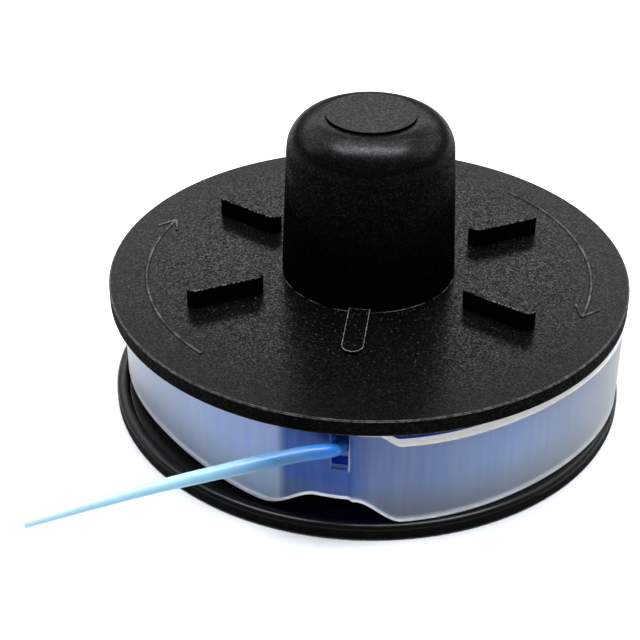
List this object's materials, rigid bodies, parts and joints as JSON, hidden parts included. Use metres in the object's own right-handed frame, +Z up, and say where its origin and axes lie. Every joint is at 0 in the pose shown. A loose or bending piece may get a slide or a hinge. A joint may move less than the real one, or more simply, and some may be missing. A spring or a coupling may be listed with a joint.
{
  "type": "trimmer line spool",
  "caption": "Round plastic line spool with a domed bump knob, lugs on its upper flange, wound line held by a clear keeper band, and a free line end.",
  "frame": {"origin": "centre of the lower flange's underside, which the spool stands on", "axes": "+Z up the spool's axis to the bump knob; the line leaves the band at the front, on the -Y side"},
  "size_m": [0.0624, 0.0789, 0.0364],
  "materials": {
    "spool_plastic": "fine moulded grain, black",
    "wound_line": "smooth nylon line, deep blue in the mass",
    "band_plastic": "milky translucent polyethylene",
    "free_line": "smooth nylon line, light blue"
  },
  "bodies": {
    "root": {"spool": "spool_plastic", "line_winding": "wound_line", "keeper_band": "band_plastic", "free_line": "free_line"}
  },
  "joints": []
}
